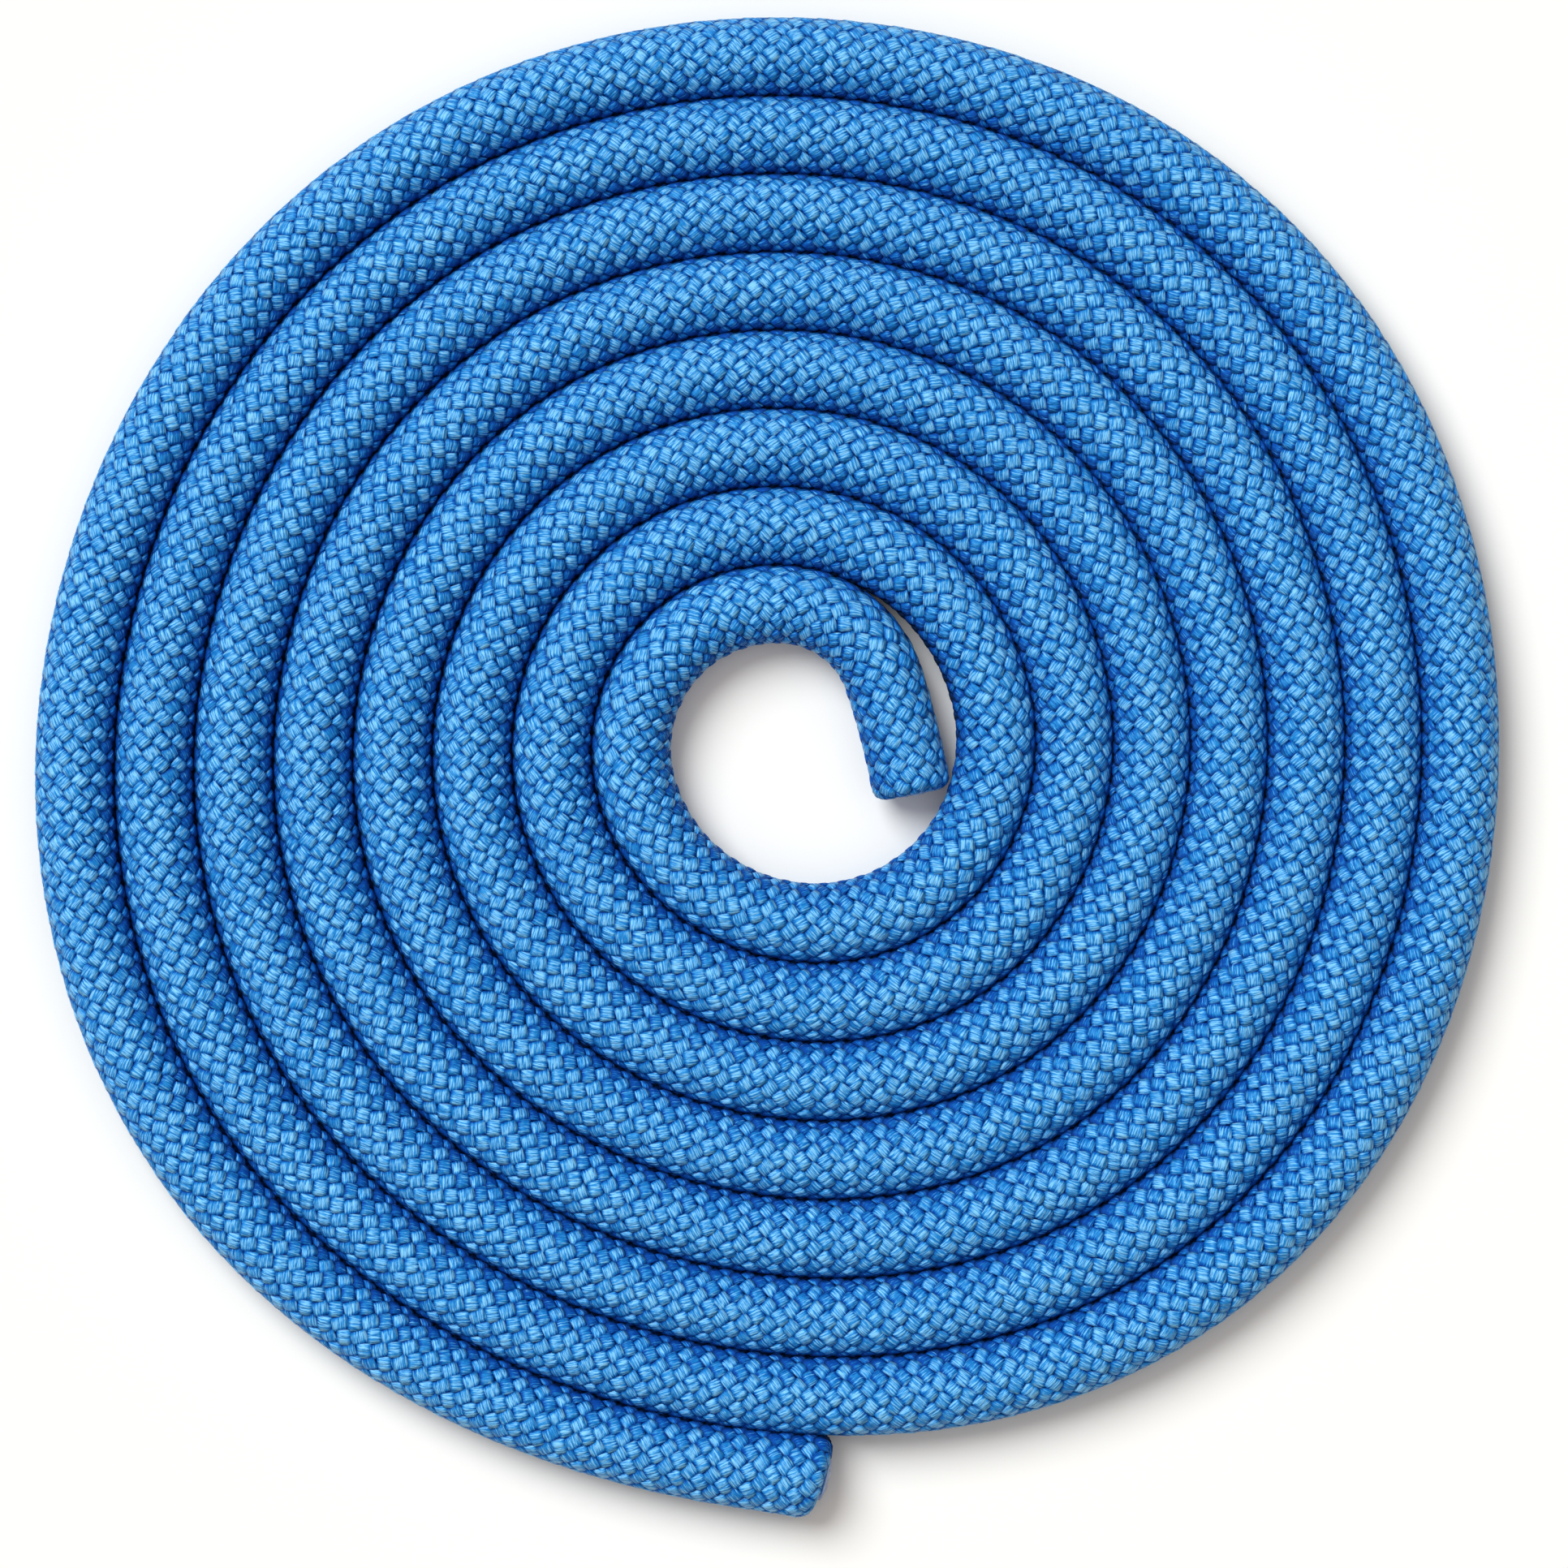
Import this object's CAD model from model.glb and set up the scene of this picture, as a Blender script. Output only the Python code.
# A round braided climbing rope, wound into one flat layer and seen from straight above.
# The route repeats the construction model's arcs; the sheath's 24 bundles are braided along it.
import math

import bpy
import numpy as np
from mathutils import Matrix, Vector, noise


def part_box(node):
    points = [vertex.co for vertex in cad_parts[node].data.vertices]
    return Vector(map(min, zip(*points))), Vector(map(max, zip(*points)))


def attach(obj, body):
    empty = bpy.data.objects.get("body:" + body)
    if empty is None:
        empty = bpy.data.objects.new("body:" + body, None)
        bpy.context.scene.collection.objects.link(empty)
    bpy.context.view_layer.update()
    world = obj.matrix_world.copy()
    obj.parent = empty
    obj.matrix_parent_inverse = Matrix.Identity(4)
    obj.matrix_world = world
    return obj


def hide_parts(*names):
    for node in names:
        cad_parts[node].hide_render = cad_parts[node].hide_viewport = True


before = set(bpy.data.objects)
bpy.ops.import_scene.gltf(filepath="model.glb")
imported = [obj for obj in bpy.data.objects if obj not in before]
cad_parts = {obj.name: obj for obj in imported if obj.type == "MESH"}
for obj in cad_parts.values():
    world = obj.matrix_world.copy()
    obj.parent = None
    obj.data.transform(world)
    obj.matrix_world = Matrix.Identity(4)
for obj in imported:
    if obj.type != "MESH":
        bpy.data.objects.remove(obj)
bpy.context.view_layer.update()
mm = 0.001
print("frame loaded")


# Helpers

def linearColour(hexText):
    parts = [int(hexText[i:i + 2], 16) / 255 for i in (1, 3, 5)]
    return [c / 12.92 if c <= 0.04045 else ((c + 0.055) / 1.055) ** 2.4 for c in parts] + [1.0]


def addNode(tree, kind, settings=None, **inputs):
    # inputs: a socket to link from, or a value; names have spaces written as _, numbers as in0, in1
    node = tree.nodes.new(kind)
    for name, value in (settings or {}).items():
        setattr(node, name, value)
    for name, value in inputs.items():
        key = int(name[2:]) if name[:2] == "in" and name[2:].isdigit() else name.replace("_", " ")
        socket = node.inputs[key]
        if isinstance(value, bpy.types.NodeSocket):
            tree.links.new(value, socket)
        else:
            socket.default_value = value
    return node


def meshObject(name, vertices, faces):
    mesh = bpy.data.meshes.new(name)
    mesh.from_pydata(vertices, [], faces)
    mesh.update()
    piece = bpy.data.objects.new(name, mesh)
    bpy.context.collection.objects.link(piece)
    return piece


def emptyMaterial(name):
    material = bpy.data.materials.new(name)
    material.use_nodes = True
    material.node_tree.nodes.clear()
    return material, material.node_tree


def unit(degrees):
    return Vector((math.cos(math.radians(degrees)), math.sin(math.radians(degrees)), 0))


# Route: the same arcs as the construction model's, in millimetres and degrees

ropeRoute = {
    "ropeDiameter": 11.0,
    "turnGap": 0.45,
    "turnDrift": 0.13,
    "firstTurnRadius": 21.1,
    "halfTurns": 15,
    "lastSweep": 65,
    "curlLeave": 71,
    "curlRadius": 16,
    "curlSweep": 66,
    "bendRadius": 110,
    "bendSweep": 7.5,
    "liftRadius": 160,
    "liftSweep": 4,
    "outerStraight": 10.5,
    "outerHeading": -7.5,
    "sealLength": 3.0,
}


def routeArcs(r):
    growA = (r["ropeDiameter"] + r["turnGap"] - r["turnDrift"]) / 2
    growB = (r["ropeDiameter"] + r["turnGap"] + r["turnDrift"]) / 2
    seam = r["outerHeading"] - 90 - r["liftSweep"] - r["lastSweep"] - 180 * r["halfTurns"]
    centres, radii = [], []
    for k in range(r["halfTurns"] + 1):
        up, down = (k + 1) // 2, k // 2
        centres.append((up * growA - down * growB) * unit(seam))
        radii.append(r["firstTurnRadius"] + up * growA + down * growB)
    leave = seam + r["curlLeave"]
    curl = leave - r["curlSweep"]
    bend = curl - r["bendSweep"]
    curlCentre = (r["firstTurnRadius"] - r["curlRadius"]) * unit(leave)
    bendCentre = curlCentre + (r["curlRadius"] - r["bendRadius"]) * unit(curl)
    arcs = [
        (bendCentre, r["bendRadius"], bend, r["bendSweep"]),
        (curlCentre, r["curlRadius"], curl, r["curlSweep"]),
        (centres[0], radii[0], leave, 180 - r["curlLeave"]),
    ]
    for k in range(1, r["halfTurns"] + 1):
        sweep = 180 if k < r["halfTurns"] else r["lastSweep"]
        arcs.append((centres[k], radii[k], seam + 180 * k, sweep))
    last = seam + 180 * r["halfTurns"] + r["lastSweep"]
    liftCentre = centres[-1] + (radii[-1] - r["liftRadius"]) * unit(last)
    arcs.append((liftCentre, r["liftRadius"], last, r["liftSweep"]))
    return arcs


outerEndPull = {"reach": 0.7, "length": 24.0}  # the outer end keeps close to the turn beside it


def routeLine(r, step, spare):
    # points every step or less, from spare before the sheath's inner end to spare past its outer end
    arcs = routeArcs(r)
    points = []
    for centre, radius, start, sweep in arcs:
        count = math.ceil(math.radians(sweep) * radius / step)
        points += [centre + radius * unit(start + sweep * i / count) for i in range(count)]
    centre, radius, start, sweep = arcs[-1]
    heading = unit(start + sweep + 90)
    count = math.ceil((r["outerStraight"] + spare) / step)
    end = centre + radius * unit(start + sweep)
    points += [end + heading * (r["outerStraight"] + spare) * i / count for i in range(count + 1)]
    if spare:
        backward = unit(arcs[0][2] - 90)
        runIn = 8  # points on the straight before the inner end
        points = [points[0] + backward * spare * (1 - i / runIn) for i in range(runIn)] + points
    # the middle of the sheath and of the outer seal, as the construction model is centred
    turning = [points[-1] - heading * (spare - r["sealLength"])]
    for centre, radius, start, sweep in arcs:
        for quarter in range(math.ceil(start / 90), math.floor((start + sweep) / 90) + 1):
            turning.append(centre + radius * unit(quarter * 90))
    middle = Vector([(min(p[i] for p in turning) + max(p[i] for p in turning)) / 2 for i in (0, 1)] + [0])
    lift = Vector((0, 0, r["ropeDiameter"] / 2))
    points = [p - middle for p in points]
    toEnd = -spare
    for i in range(len(points) - 1, -1, -1):
        if toEnd > outerEndPull["length"]:
            break
        pull = outerEndPull["reach"] * (1 - toEnd / outerEndPull["length"]) ** 2
        toEnd += (points[i] - points[i - 1]).length
        points[i] -= points[i].normalized() * pull
    return [p + lift for p in points]


# the coil isn't quite round: slow waves round its middle that grow outwards and widen the rope with them
coilWander = {
    "middle": (0.97, 3.11),
    "fullRadius": 102.0,
    "waves": [(1, 0.69, 317), (3, 0.91, 72), (4, 0.72, 36)],  # how many, reach, direction of a crest
}


def wandered(places):
    # places: rows of x, y, z in millimetres
    off = places[:, :2] - np.array(coilWander["middle"])
    angle = np.arctan2(off[:, 1], off[:, 0])
    reach = sum(size * np.cos(count * (angle - math.radians(crest)))
                for count, size, crest in coilWander["waves"])
    moved = places.copy()
    moved[:, :2] += off * (reach * np.hypot(*off.T) / coilWander["fullRadius"] ** 2)[:, None]
    return moved


def wanderMesh(piece):
    places = np.empty(len(piece.data.vertices) * 3, np.float32)
    piece.data.vertices.foreach_get("co", places)
    moved = wandered(places.reshape(-1, 3).astype(np.float64) / mm) * mm
    piece.data.vertices.foreach_set("co", moved.astype(np.float32).ravel())
    piece.data.update()


spare = 5.0
guideStep = 0.8
guidePoints = routeLine(ropeRoute, guideStep, spare)
guideLength = sum((b - a).length for a, b in zip(guidePoints, guidePoints[1:]))
sheathLength = guideLength - 2 * spare
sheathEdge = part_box("sheath")[1].x / mm
fitted = max(p.x for p in guidePoints) + ropeRoute["ropeDiameter"] / 2 - sheathEdge
print("route laid:", round(sheathLength, 1), "mm of sheath,", round(fitted, 3), "mm off the frame")


# Camera: straight above, far away and long, framed on the coil

cameraSizes = {
    "distance": 1500,
    "frameWidth": 227.3,
    "widthLevel": 8,  # the height at which the frame is that wide, near the rope's top
    "aim": (2.15, -2.02),
}

cameraData = bpy.data.cameras.new("overhead_camera")
cameraData.sensor_width = 36
cameraData.lens = (cameraData.sensor_width * (cameraSizes["distance"] - cameraSizes["widthLevel"])
                   / cameraSizes["frameWidth"])
cameraData.clip_end = 10
camera = bpy.data.objects.new("overhead_camera", cameraData)
camera.location = (cameraSizes["aim"][0] * mm, cameraSizes["aim"][1] * mm, cameraSizes["distance"] * mm)
bpy.context.collection.objects.link(camera)
bpy.context.scene.camera = camera
print("camera placed")


# Materials

yarnFinish = {
    "blue": "#2287cc",
    "lightBlue": "#8acdf3",
    "deepBlue": "#0a5aae",
    "creviceBlue": "#0a479e",
    "darkestBlue": "#030f32",
    "sheenTint": "#94daff",
    "plyWidth": 1.1,
    "filamentSpacing": 0.2,  # real filaments are a tenth of this and too fine to show
    "filamentRun": 2.0,
    "filamentShift": 7.0,  # how far one bundle's pattern lies from the next one's
    "tuftScale": (0.8, 1.1, 3.0),  # tufts per millimetre along and across, and their shift
    "plyTwist": 10,  # degrees between the filaments and the bundle
    "middleTone": 0.5,  # where the plain blue stands between the deep and the light one
    "lightTone": 0.73,
    "blockVariation": 0.025,
    "filamentTone": 0.68,
    "filamentStep": (0.3, 0.7),  # where this change begins and where it is complete, as for all steps
    "crestTone": 0.27,
    "crestStep": (0.2, 1.05),
    "edgeTone": 0.4,
    "edgeStep": (1.0, 1.17),  # millimetres from the bundle's middle line
    "grooveTone": 0.75,
    "grooveHalfWidth": 0.12,
    "raggedDive": 2.6,  # how unevenly the filaments go under
    "diveStep": (1.3, 1.88),
    "darkStep": (0.05, 1.3),
    "reliefDepth": 0.12,
    "tuftRelief": 1.2,  # this and the next as multiples of the filaments' own relief
    "plyRelief": 1.1,
    "divedRoughness": 0.9,
    "flatRoughness": 0.33,
}


def solutionDyedPolyamideYarn():
    # bright filament yarn: a silky light band across each float, fine lines, ragged where it goes under
    f = yarnFinish
    material, tree = emptyMaterial("braided_polyamide_yarn")
    path = addNode(tree, "ShaderNodeAttribute", {"attribute_name": "yarnPath"})
    way = addNode(tree, "ShaderNodeAttribute", {"attribute_name": "yarnWay"})
    tone = addNode(tree, "ShaderNodeAttribute", {"attribute_name": "floatTone"})
    height = addNode(tree, "ShaderNodeAttribute", {"attribute_name": "floatHeight"})
    # x runs along the bundle and y across it, both in millimetres; z is the bundle's number
    turned = addNode(tree, "ShaderNodeMapping", {}, Vector=path.outputs["Vector"],
                     Rotation=(0, 0, math.radians(f["plyTwist"])))
    strokes = addNode(tree, "ShaderNodeMapping", {}, Vector=turned.outputs["Vector"],
                      Scale=(1 / f["filamentRun"], 1 / f["filamentSpacing"], f["filamentShift"]))
    filaments = addNode(tree, "ShaderNodeTexNoise", {"noise_dimensions": "3D"},
                        Vector=strokes.outputs["Vector"], Scale=1.0, Detail=3.0, Roughness=0.65)
    tufts = addNode(tree, "ShaderNodeMapping", {}, Vector=path.outputs["Vector"], Scale=f["tuftScale"])
    patches = addNode(tree, "ShaderNodeTexNoise", {"noise_dimensions": "3D"},
                      Vector=tufts.outputs["Vector"], Scale=1.0, Detail=2.0)
    filamentTone = addNode(tree, "ShaderNodeMapRange", {}, Value=filaments.outputs["Fac"],
                           in1=f["filamentStep"][0], in2=f["filamentStep"][1], in3=0.0,
                           in4=f["filamentTone"])
    mixed = addNode(tree, "ShaderNodeMath", {"operation": "MULTIPLY_ADD"},
                    in0=tone.outputs["Fac"], in1=f["blockVariation"], in2=filamentTone.outputs["Result"])
    # a float is lightest where its filaments lie flat on top
    crest = addNode(tree, "ShaderNodeMapRange", {"interpolation_type": "SMOOTHSTEP"},
                    Value=height.outputs["Fac"], in1=f["crestStep"][0], in2=f["crestStep"][1], in3=0.0,
                    in4=f["crestTone"])
    shaded = addNode(tree, "ShaderNodeMath", {"operation": "ADD", "use_clamp": True},
                     in0=mixed.outputs["Value"], in1=crest.outputs["Result"])
    shade = addNode(tree, "ShaderNodeValToRGB", {}, Fac=shaded.outputs[0])
    ramp = shade.color_ramp
    ramp.elements[0].color = linearColour(f["deepBlue"])
    ramp.elements[1].position = f["lightTone"]
    ramp.elements[1].color = linearColour(f["lightBlue"])
    ramp.elements.new(f["middleTone"]).color = linearColour(f["blue"])
    # where a bundle goes under its crossing, only the deep dye colour is left
    ragged = addNode(tree, "ShaderNodeMath", {"operation": "MULTIPLY_ADD"},
                     in0=filaments.outputs["Fac"], in1=f["raggedDive"], in2=height.outputs["Fac"])
    over = addNode(tree, "ShaderNodeMapRange", {"interpolation_type": "SMOOTHSTEP"},
                   Value=ragged.outputs["Value"], in1=f["diveStep"][0], in2=f["diveStep"][1], in3=0.0,
                   in4=1.0)
    place = addNode(tree, "ShaderNodeSeparateXYZ", {}, Vector=path.outputs["Vector"])
    offMiddle = addNode(tree, "ShaderNodeMath", {"operation": "ABSOLUTE"}, in0=place.outputs["Y"])
    # the same along its edges, where it meets the bundle beside it
    edge = addNode(tree, "ShaderNodeMapRange", {"interpolation_type": "SMOOTHSTEP"},
                   Value=offMiddle.outputs[0], in1=f["edgeStep"][0], in2=f["edgeStep"][1], in3=1.0,
                   in4=f["edgeTone"])
    dive = addNode(tree, "ShaderNodeMath", {"operation": "MULTIPLY"}, in0=over.outputs["Result"],
                   in1=edge.outputs["Result"])
    deepest = addNode(tree, "ShaderNodeMapRange", {"interpolation_type": "SMOOTHSTEP"},
                      Value=ragged.outputs["Value"], in1=f["darkStep"][0], in2=f["darkStep"][1],
                      in3=0.0, in4=1.0)
    under = addNode(tree, "ShaderNodeMix", {"data_type": "RGBA"}, Factor=deepest.outputs["Result"],
                    in6=linearColour(f["darkestBlue"]), in7=linearColour(f["creviceBlue"]))
    colour = addNode(tree, "ShaderNodeMix", {"data_type": "RGBA"}, Factor=dive.outputs[0],
                     in6=under.outputs[2], in7=shade.outputs["Color"])
    # each bundle is two round plies, with a groove between them
    groove = addNode(tree, "ShaderNodeMapRange", {"interpolation_type": "SMOOTHSTEP"},
                     Value=offMiddle.outputs[0], in1=0.0, in2=f["grooveHalfWidth"], in3=f["grooveTone"],
                     in4=1.0)
    grooved = addNode(tree, "ShaderNodeMix", {"data_type": "RGBA"}, Factor=groove.outputs["Result"],
                      in6=linearColour(f["deepBlue"]), in7=colour.outputs[2])
    offPly = addNode(tree, "ShaderNodeMapRange", {"clamp": False}, Value=offMiddle.outputs[0],
                     in1=0.0, in2=f["plyWidth"], in3=-1.0, in4=1.0)
    plyRound = addNode(tree, "ShaderNodeMath", {"operation": "MULTIPLY"}, in0=offPly.outputs["Result"],
                       in1=offPly.outputs["Result"])
    relief = addNode(tree, "ShaderNodeMath", {"operation": "MULTIPLY_ADD"},
                     in0=patches.outputs["Fac"], in1=f["tuftRelief"], in2=filaments.outputs["Fac"])
    relief = addNode(tree, "ShaderNodeMath", {"operation": "MULTIPLY_ADD"},
                     in0=plyRound.outputs[0], in1=-f["plyRelief"], in2=relief.outputs["Value"])
    bump = addNode(tree, "ShaderNodeBump", {}, Height=relief.outputs["Value"], Strength=1.0,
                   Distance=f["reliefDepth"] * mm)
    gloss = addNode(tree, "ShaderNodeMapRange", {}, Value=dive.outputs[0], in3=f["divedRoughness"],
                    in4=f["flatRoughness"])
    surface = addNode(tree, "ShaderNodeBsdfPrincipled", {}, Base_Color=grooved.outputs[2],
                      Roughness=gloss.outputs["Result"], IOR=1.4, Specular_IOR_Level=0.5, Anisotropic=0.8,
                      Anisotropic_Rotation=0.25, Specular_Tint=linearColour(f["sheenTint"]),
                      Tangent=way.outputs["Vector"], Normal=bump.outputs["Normal"])
    addNode(tree, "ShaderNodeOutputMaterial", {}, Surface=surface.outputs["BSDF"])
    return material


backingFinish = {"dark": "#06266a", "light": "#0c409a", "grainsPerMillimetre": 0.9, "roughness": 0.8}


def dyedBackingYarn():
    # the sheath's inner side between bundles: dark and matt, with a faint grain
    f = backingFinish
    material, tree = emptyMaterial("backing_yarn")
    place = addNode(tree, "ShaderNodeTexCoord")
    grain = addNode(tree, "ShaderNodeTexNoise", {}, Vector=place.outputs["Object"],
                    Scale=f["grainsPerMillimetre"] / mm, Detail=2.0)
    shade = addNode(tree, "ShaderNodeMix", {"data_type": "RGBA"}, Factor=grain.outputs["Fac"],
                    in6=linearColour(f["dark"]), in7=linearColour(f["light"]))
    bump = addNode(tree, "ShaderNodeBump", {}, Height=grain.outputs["Fac"], Strength=0.5, Distance=0.1 * mm)
    surface = addNode(tree, "ShaderNodeBsdfPrincipled", {}, Base_Color=shade.outputs[2],
                      Roughness=f["roughness"], Normal=bump.outputs["Normal"])
    addNode(tree, "ShaderNodeOutputMaterial", {}, Surface=surface.outputs["BSDF"])
    return material


twistFinish = {"lineSpacing": 1.0365, "relief": 0.2, "roughness": 0.6}


def twistedYarn(name, dark, light):
    # twisted filament yarn: matt, with slanting twist lines; a wave texture's slanting bands lie
    # 2 pi / (10 * sqrt(3)) apart at scale 1
    f = twistFinish
    material, tree = emptyMaterial(name)
    place = addNode(tree, "ShaderNodeTexCoord")
    twist = addNode(tree, "ShaderNodeTexWave", {"bands_direction": "DIAGONAL"},
                    Vector=place.outputs["Object"], Distortion=2.0, Detail=2.0,
                    Scale=2 * math.pi / (10 * math.sqrt(3) * f["lineSpacing"] * mm))
    shade = addNode(tree, "ShaderNodeMix", {"data_type": "RGBA"}, Factor=twist.outputs["Fac"],
                    in6=linearColour(dark), in7=linearColour(light))
    bump = addNode(tree, "ShaderNodeBump", {}, Height=twist.outputs["Fac"], Strength=0.6,
                   Distance=f["relief"] * mm)
    surface = addNode(tree, "ShaderNodeBsdfPrincipled", {}, Base_Color=shade.outputs[2],
                      Roughness=f["roughness"], Sheen_Weight=0.2, Normal=bump.outputs["Normal"])
    addNode(tree, "ShaderNodeOutputMaterial", {}, Surface=surface.outputs["BSDF"])
    return material


fusedFinish = {
    "pooled": "#123f86",
    "thin": "#2f7cc8",
    "milkyDark": "#8fa6bd",
    "milkyLight": "#d5d9d6",
    "poolsPerMillimetre": 0.7,
    "relief": 0.2,
    "leastRoughness": 0.18,
    "mostRoughness": 0.42,
}


def fusedPolyamide():
    # yarn melted by a hot knife: hard, smooth and shiny in blobs, darker where the dye has pooled
    f = fusedFinish
    material, tree = emptyMaterial("heat_fused_polyamide")
    place = addNode(tree, "ShaderNodeTexCoord")
    core = addNode(tree, "ShaderNodeAttribute", {"attribute_name": "coreShare"})
    pools = addNode(tree, "ShaderNodeTexNoise", {}, Vector=place.outputs["Object"],
                    Scale=f["poolsPerMillimetre"] / mm, Detail=3.0)
    dyed = addNode(tree, "ShaderNodeMix", {"data_type": "RGBA"}, Factor=pools.outputs["Fac"],
                   in6=linearColour(f["pooled"]), in7=linearColour(f["thin"]))
    milky = addNode(tree, "ShaderNodeMix", {"data_type": "RGBA"}, Factor=pools.outputs["Fac"],
                    in6=linearColour(f["milkyDark"]), in7=linearColour(f["milkyLight"]))
    colour = addNode(tree, "ShaderNodeMix", {"data_type": "RGBA"}, Factor=core.outputs["Fac"],
                     in6=dyed.outputs[2], in7=milky.outputs[2])
    gloss = addNode(tree, "ShaderNodeMapRange", {}, Value=pools.outputs["Fac"], in3=f["leastRoughness"],
                    in4=f["mostRoughness"])
    bump = addNode(tree, "ShaderNodeBump", {}, Height=pools.outputs["Fac"], Strength=0.6,
                   Distance=f["relief"] * mm)
    surface = addNode(tree, "ShaderNodeBsdfPrincipled", {}, Base_Color=colour.outputs[2],
                      Roughness=gloss.outputs["Result"], IOR=1.53, Coat_Weight=0.3,
                      Normal=bump.outputs["Normal"])
    addNode(tree, "ShaderNodeOutputMaterial", {}, Surface=surface.outputs["BSDF"])
    return material


yarnMaterial = solutionDyedPolyamideYarn()
backingMaterial = dyedBackingYarn()
coreMaterial = twistedYarn("undyed_twisted_core_yarn", "#cfcabb", "#f2efe6")
markerMaterial = twistedYarn("red_marker_yarn", "#a3200f", "#e04a2c")
fusedMaterial = fusedPolyamide()
print("materials ready")


# Braid: 12 bundles run each way round, over one and under one

braidSizes = {
    "bundlesEachWay": 12,
    "layLength": 41.4,  # of one bundle, once round the rope
    "middleRadius": 4.9,  # of the weave's middle surface
    "weaveHeight": 0.35,  # how far a bundle swings out and in from it
    "bundleWidth": 2.38,
    "bundleHeight": 0.25,  # above its own edges
    "heightVariation": 0.12,
    "widthVariation": 0.08,
    "sideVariation": 0.1,
    "leanVariation": 0.22,
    "innerSideRelief": 0.12,  # the inner side of the bend is pressed into deeper relief, the outer stretched
    "flankRelief": 0.3,  # both sides are pressed flatter than the top
    "innerPress": 0.055,  # the inner side is pressed onto the turn within it
    "pressedFrom": 150.0,  # fully so from here outwards; lengths along the rope start at its inner end
    "gapShade": 2.1,  # how much darker the yarn is where two turns touch
    "gapNarrowness": 8.0,  # how closely that keeps to the line where they touch
    "innerTouchFrom": 140.0,  # the turn within is touched from here outwards,
    "outerTouchFrom": 12.0,  # the turn outside between these two
    "outerTouchTo": 2405.0,
    "touchStep": 20.0,  # the shade comes and goes over this length
    "innerShade": 0.5,  # bundles are darker on the inner side of the bend,
    "innerShadeSplit": 0.6,  # those of one way round more than the others,
    "outerShade": 0.2,  # and those others on the outer side too
    "flattening": 1.052,  # the rope lies a little wider than it is high
    "flare": 0.1,  # and wider still where its outer end was cut
    "flareLength": 30.0,
    "innerRim": 1.7,
    "outerRim": 2.3,
    "outerRimLean": 0.7,  # rounder on the side away from the coil
    "outerCut": 10.0,
    "outerInset": 0.5,
    "wrap": 1.3,  # how far the bundles reach over the rim onto the cut face
    "firstSeed": 3,
}
# a bundle is a flat ribbon: (across, height) as shares of half its width and of its height
bundleSection = [(1.0, -0.6), (0.88, 0.72), (0.0, 1.0), (-0.88, 0.72), (-1.0, -0.6), (0.0, -1.0)]
# one wave: (place along it, lift, width), from where it comes up to where it dives under again
bundleWave = [(-0.3, -1.0, 0.95), (-0.215, 0.4, 0.99), (-0.11, 0.98, 1.0),
              (0.11, 0.98, 1.0), (0.215, 0.4, 0.99), (0.3, -1.0, 0.95)]

waveLength = braidSizes["layLength"] / braidSizes["bundlesEachWay"]
sideAngle = math.atan(2 * math.pi * braidSizes["middleRadius"] / braidSizes["layLength"])
skin = ropeRoute["ropeDiameter"] / 2 - braidSizes["middleRadius"]
innerPlane = -ropeRoute["sealLength"] + skin
outerPlane = sheathLength + ropeRoute["sealLength"] - skin - braidSizes["outerInset"]
firstWave = math.floor((innerPlane - braidSizes["wrap"]) / waveLength)
waveCount = math.ceil((outerPlane + braidSizes["wrap"]) / waveLength) - firstWave


def guideCurve(name, points):
    data = bpy.data.curves.new(name, "CURVE")
    data.dimensions = "3D"
    spline = data.splines.new("POLY")
    spline.points.add(len(points) - 1)
    for point, place in zip(spline.points, points):
        point.co = (*(place * mm), 1)
    piece = bpy.data.objects.new(name, data)
    bpy.context.collection.objects.link(piece)
    return piece


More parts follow.
